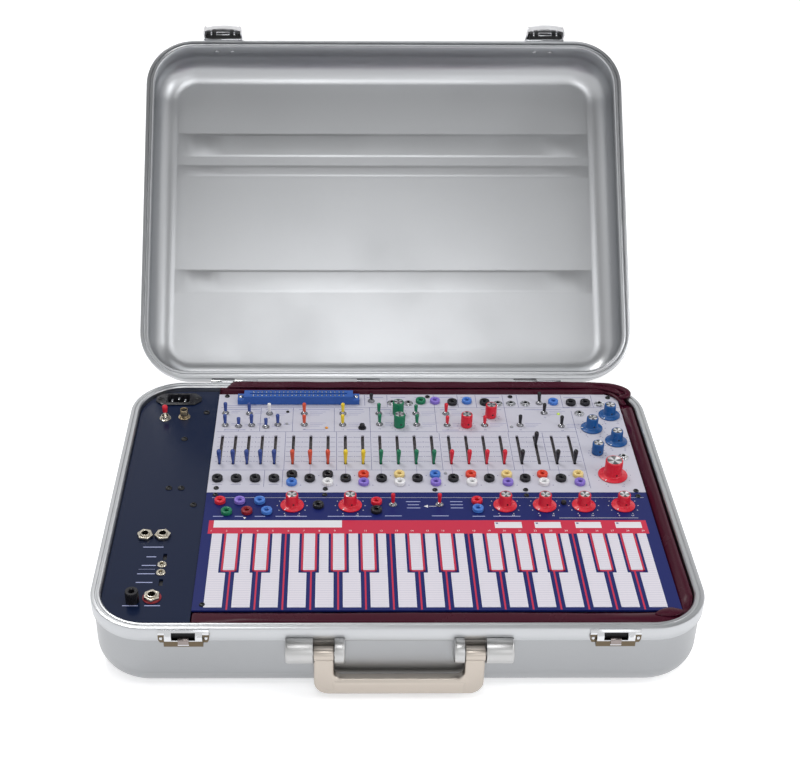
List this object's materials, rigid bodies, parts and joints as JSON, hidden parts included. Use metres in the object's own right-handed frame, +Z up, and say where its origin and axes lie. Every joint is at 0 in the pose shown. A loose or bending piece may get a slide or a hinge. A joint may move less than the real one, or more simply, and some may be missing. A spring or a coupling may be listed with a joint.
{
  "type": "modular synthesizer",
  "caption": "Suitcase modular synthesizer: slider and patch panel over a touch-key panel in an aluminium case with a hinged lid, latches and carrying handle.",
  "frame": {"origin": "centre of the flat underside of the tray, on the surface it stands on", "axes": "+X to the player's right along the keyboard, +Y to the hinged back, +Z up; lid open at its stop"},
  "size_m": [0.546, 0.7232, 0.3852],
  "materials": {
    "aluminium_satin": "satin natural aluminium",
    "chrome_plate": "plated steel",
    "handle_silver": "satin warm silver",
    "upper_white": "satin printed",
    "keyboard_navy": "satin printed",
    "side_navy": "satin",
    "maroon_vinyl": "padded vinyl",
    "connector_blue": "moulded",
    "black_plastic": "moulded",
    "board_metal": "pan and boards",
    "red_plastic": "moulded",
    "blue_plastic": "moulded",
    "orange_plastic": "moulded",
    "yellow_plastic": "moulded",
    "green_plastic": "moulded"
  },
  "bodies": {
    "case": {"case_tray": "aluminium_satin", "internal_chassis": "board_metal", "upper_panel": "upper_white", "keyboard_panel": "keyboard_navy", "side_panel": "side_navy", "liner": "maroon_vinyl", "program_connector": "connector_blue", "power_inlet": "black_plastic", "latch_keeper_left": "chrome_plate", "latch_keeper_right": "chrome_plate", "handle_bracket_left": "handle_silver", "handle_bracket_right": "handle_silver", "hinge_leaf_1": "chrome_plate", "hinge_leaf_2": "chrome_plate", "hinge_leaf_3": "chrome_plate"},
    "lid": {"lid_shell": "aluminium_satin", "latch_base_left": "chrome_plate", "latch_base_right": "chrome_plate"},
    "latch_lever_left": {"latch_lever_left": "aluminium_satin"},
    "latch_lever_right": {"latch_lever_right": "aluminium_satin"},
    "handle": {"handle": "handle_silver"},
    "power_switch": {"power_switch_lever": "red_plastic"},
    "push_button": {"push_button": "black_plastic"},
    "slider_blue_1": {"slider_blue_1": "blue_plastic"},
    "slider_blue_2": {"slider_blue_2": "blue_plastic"},
    "slider_blue_3": {"slider_blue_3": "blue_plastic"},
    "slider_blue_4": {"slider_blue_4": "blue_plastic"},
    "slider_blue_5": {"slider_blue_5": "blue_plastic"},
    "slider_orange_1": {"slider_orange_1": "orange_plastic"},
    "slider_orange_2": {"slider_orange_2": "orange_plastic"},
    "slider_orange_3": {"slider_orange_3": "orange_plastic"},
    "slider_yellow_1": {"slider_yellow_1": "yellow_plastic"},
    "slider_yellow_2": {"slider_yellow_2": "yellow_plastic"},
    "slider_green_1": {"slider_green_1": "green_plastic"},
    "slider_green_2": {"slider_green_2": "green_plastic"},
    "slider_green_3": {"slider_green_3": "green_plastic"},
    "slider_green_4": {"slider_green_4": "green_plastic"},
    "slider_red_1": {"slider_red_1": "red_plastic"},
    "slider_red_2": {"slider_red_2": "red_plastic"},
    "slider_red_3": {"slider_red_3": "red_plastic"},
    "slider_red_4": {"slider_red_4": "red_plastic"},
    "slider_black_1": {"slider_black_1": "black_plastic"},
    "slider_black_2": {"slider_black_2": "black_plastic"},
    "slider_black_3": {"slider_black_3": "black_plastic"},
    "slider_black_4": {"slider_black_4": "black_plastic"},
    "knob_green_1": {"knob_green_1": "green_plastic"},
    "knob_green_2": {"knob_green_2": "green_plastic"},
    "knob_red_1": {"knob_red_1": "red_plastic"},
    "knob_red_2": {"knob_red_2": "red_plastic"},
    "knob_blue_1": {"knob_blue_1": "blue_plastic"},
    "knob_blue_2": {"knob_blue_2": "blue_plastic"},
    "knob_blue_3": {"knob_blue_3": "blue_plastic"},
    "knob_blue_4": {"knob_blue_4": "blue_plastic"},
    "knob_master": {"knob_master": "red_plastic"},
    "knob_portamento": {"knob_portamento": "red_plastic"},
    "knob_transpose": {"knob_transpose": "red_plastic"},
    "knob_octave": {"knob_octave": "red_plastic"},
    "knob_preset_1": {"knob_preset_1": "red_plastic"},
    "knob_preset_2": {"knob_preset_2": "red_plastic"},
    "knob_preset_3": {"knob_preset_3": "red_plastic"}
  },
  "joints": [
    {"name": "lid_hinge", "type": "hinge", "parent": "case", "child": "lid", "pos_m": [0, 0.2034, 0.0727], "axis": [1, 0, 0], "range_deg": [0, 132.2]},
    {"name": "latch_left_hinge", "type": "hinge", "parent": "lid", "child": "latch_lever_left", "pos_m": [-0.186, 0.50453, 0.35351], "axis": [-1, 0, 0], "range_deg": [0, 100]},
    {"name": "latch_right_hinge", "type": "hinge", "parent": "lid", "child": "latch_lever_right", "pos_m": [0.186, 0.50453, 0.35351], "axis": [-1, 0, 0], "range_deg": [0, 100]},
    {"name": "handle_hinge", "type": "hinge", "parent": "case", "child": "handle", "pos_m": [0, -0.204, 0.053], "axis": [-1, 0, 0], "range_deg": [0, 95]},
    {"name": "power_switch_rock", "type": "hinge", "parent": "case", "child": "power_switch", "pos_m": [-0.2362, 0.13609, 0.0715], "axis": [1, 0, 0], "range_deg": [0, 24]},
    {"name": "push_button_press", "type": "slide", "parent": "case", "child": "push_button", "axis": [0, 0, -1], "range_m": [0, 0.002], "stiffness_N_per_m": 300},
    {"name": "slider_blue_1_travel", "type": "slide", "parent": "case", "child": "slider_blue_1", "axis": [0, 1, 0], "range_m": [0, 0.045]},
    {"name": "slider_blue_2_travel", "type": "slide", "parent": "case", "child": "slider_blue_2", "axis": [0, 1, 0], "range_m": [0, 0.045]},
    {"name": "slider_blue_3_travel", "type": "slide", "parent": "case", "child": "slider_blue_3", "axis": [0, 1, 0], "range_m": [0, 0.045]},
    {"name": "slider_blue_4_travel", "type": "slide", "parent": "case", "child": "slider_blue_4", "axis": [0, 1, 0], "range_m": [0, 0.045]},
    {"name": "slider_blue_5_travel", "type": "slide", "parent": "case", "child": "slider_blue_5", "axis": [0, 1, 0], "range_m": [0, 0.045]},
    {"name": "slider_orange_1_travel", "type": "slide", "parent": "case", "child": "slider_orange_1", "axis": [0, 1, 0], "range_m": [0, 0.045]},
    {"name": "slider_orange_2_travel", "type": "slide", "parent": "case", "child": "slider_orange_2", "axis": [0, 1, 0], "range_m": [0, 0.045]},
    {"name": "slider_orange_3_travel", "type": "slide", "parent": "case", "child": "slider_orange_3", "axis": [0, 1, 0], "range_m": [0, 0.045]},
    {"name": "slider_yellow_1_travel", "type": "slide", "parent": "case", "child": "slider_yellow_1", "axis": [0, 1, 0], "range_m": [0, 0.045]},
    {"name": "slider_yellow_2_travel", "type": "slide", "parent": "case", "child": "slider_yellow_2", "axis": [0, 1, 0], "range_m": [0, 0.045]},
    {"name": "slider_green_1_travel", "type": "slide", "parent": "case", "child": "slider_green_1", "axis": [0, 1, 0], "range_m": [0, 0.045]},
    {"name": "slider_green_2_travel", "type": "slide", "parent": "case", "child": "slider_green_2", "axis": [0, 1, 0], "range_m": [0, 0.045]},
    {"name": "slider_green_3_travel", "type": "slide", "parent": "case", "child": "slider_green_3", "axis": [0, 1, 0], "range_m": [0, 0.045]},
    {"name": "slider_green_4_travel", "type": "slide", "parent": "case", "child": "slider_green_4", "axis": [0, 1, 0], "range_m": [0, 0.045]},
    {"name": "slider_red_1_travel", "type": "slide", "parent": "case", "child": "slider_red_1", "axis": [0, 1, 0], "range_m": [0, 0.045]},
    {"name": "slider_red_2_travel", "type": "slide", "parent": "case", "child": "slider_red_2", "axis": [0, 1, 0], "range_m": [0, 0.045]},
    {"name": "slider_red_3_travel", "type": "slide", "parent": "case", "child": "slider_red_3", "axis": [0, 1, 0], "range_m": [0, 0.045]},
    {"name": "slider_red_4_travel", "type": "slide", "parent": "case", "child": "slider_red_4", "axis": [0, 1, 0], "range_m": [0, 0.045]},
    {"name": "slider_black_1_travel", "type": "slide", "parent": "case", "child": "slider_black_1", "axis": [0, 1, 0], "range_m": [0, 0.045]},
    {"name": "slider_black_2_travel", "type": "slide", "parent": "case", "child": "slider_black_2", "axis": [0, 1, 0], "range_m": [-0.0322, 0.0128]},
    {"name": "slider_black_3_travel", "type": "slide", "parent": "case", "child": "slider_black_3", "axis": [0, 1, 0], "range_m": [0, 0.045]},
    {"name": "slider_black_4_travel", "type": "slide", "parent": "case", "child": "slider_black_4", "axis": [0, 1, 0], "range_m": [0, 0.045]},
    {"name": "knob_green_1_turn", "type": "hinge", "parent": "case", "child": "knob_green_1", "pos_m": [0.01103, 0.14438, 0.071], "axis": [0, 0, -1], "range_deg": [-150, 150]},
    {"name": "knob_green_2_turn", "type": "hinge", "parent": "case", "child": "knob_green_2", "pos_m": [0.01155, 0.1205, 0.071], "axis": [0, 0, -1], "range_deg": [-150, 150]},
    {"name": "knob_red_1_turn", "type": "hinge", "parent": "case", "child": "knob_red_1", "pos_m": [0.08215, 0.1205, 0.071], "axis": [0, 0, -1], "range_deg": [-150, 150]},
    {"name": "knob_red_2_turn", "type": "hinge", "parent": "case", "child": "knob_red_2", "pos_m": [0.10939, 0.1385, 0.071], "axis": [0, 0, -1], "range_deg": [-150, 150]},
    {"name": "knob_blue_1_turn", "type": "hinge", "parent": "case", "child": "knob_blue_1", "pos_m": [0.23608, 0.14061, 0.071], "axis": [0, 0, -1], "range_deg": [-150, 150]},
    {"name": "knob_blue_2_turn", "type": "hinge", "parent": "case", "child": "knob_blue_2", "pos_m": [0.2135, 0.11597, 0.071], "axis": [0, 0, -1], "range_deg": [-150, 150]},
    {"name": "knob_blue_3_turn", "type": "hinge", "parent": "case", "child": "knob_blue_3", "pos_m": [0.23522, 0.09161, 0.071], "axis": [0, 0, -1], "range_deg": [-150, 150]},
    {"name": "knob_blue_4_turn", "type": "hinge", "parent": "case", "child": "knob_blue_4", "pos_m": [0.21251, 0.07081, 0.071], "axis": [0, 0, -1], "range_deg": [-150, 150]},
    {"name": "knob_master_turn", "type": "hinge", "parent": "case", "child": "knob_master", "pos_m": [0.22179, 0.03223, 0.071], "axis": [0, 0, -1], "range_deg": [-150, 150]},
    {"name": "knob_portamento_turn", "type": "hinge", "parent": "case", "child": "knob_portamento", "pos_m": [-0.09748, -0.0178, 0.071], "axis": [0, 0, -1], "range_deg": [-150, 150]},
    {"name": "knob_transpose_turn", "type": "hinge", "parent": "case", "child": "knob_transpose", "pos_m": [-0.04131, -0.0178, 0.071], "axis": [0, 0, -1], "range_deg": [-150, 150]},
    {"name": "knob_octave_turn", "type": "hinge", "parent": "case", "child": "knob_octave", "pos_m": [0.10892, -0.0178, 0.071], "axis": [0, 0, -1], "range_deg": [-150, 150]},
    {"name": "knob_preset_1_turn", "type": "hinge", "parent": "case", "child": "knob_preset_1", "pos_m": [0.1473, -0.0178, 0.071], "axis": [0, 0, -1], "range_deg": [-150, 150]},
    {"name": "knob_preset_2_turn", "type": "hinge", "parent": "case", "child": "knob_preset_2", "pos_m": [0.1853, -0.0178, 0.071], "axis": [0, 0, -1], "range_deg": [-150, 150]},
    {"name": "knob_preset_3_turn", "type": "hinge", "parent": "case", "child": "knob_preset_3", "pos_m": [0.22369, -0.0178, 0.071], "axis": [0, 0, -1], "range_deg": [-150, 150]}
  ]
}
